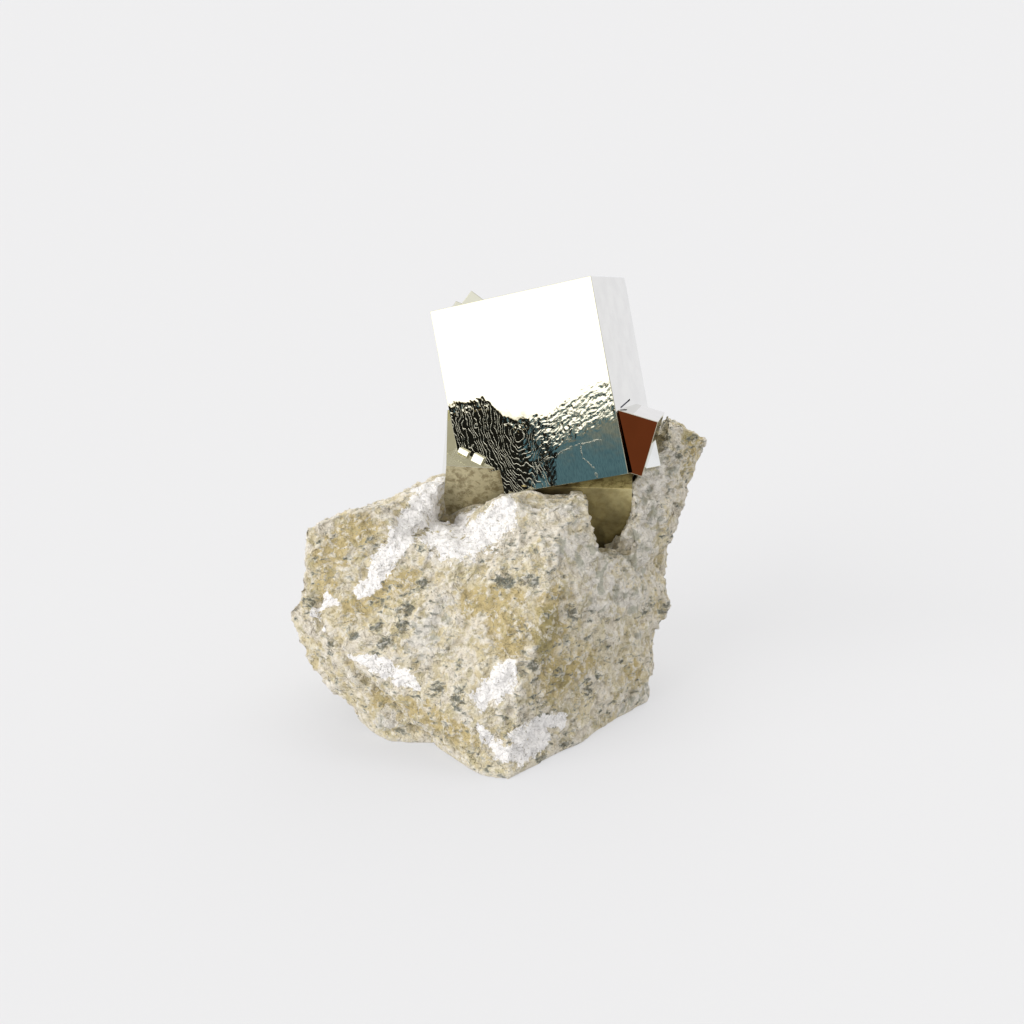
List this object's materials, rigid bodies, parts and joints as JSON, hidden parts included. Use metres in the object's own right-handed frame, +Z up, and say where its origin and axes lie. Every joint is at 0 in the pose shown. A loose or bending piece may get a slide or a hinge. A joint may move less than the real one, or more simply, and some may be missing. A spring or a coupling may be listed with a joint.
{
  "type": "pyrite specimen",
  "caption": "Mineral specimen: a large mirror-bright pyrite block with smaller intergrown crystals, standing in a rough block of pale marl with a flat base.",
  "frame": {"origin": "on the ground, under the middle of the specimen's bounding box", "axes": "+Z up, out of the flat base; -Y towards the front, where the large crystal face looks; +X to the right seen from the front"},
  "size_m": [0.0872, 0.0736, 0.0889],
  "materials": {
    "marl": "rough",
    "pyrite": "polished"
  },
  "bodies": {
    "root": {"matrix": "marl", "pyrite_cluster": "pyrite"}
  },
  "joints": []
}
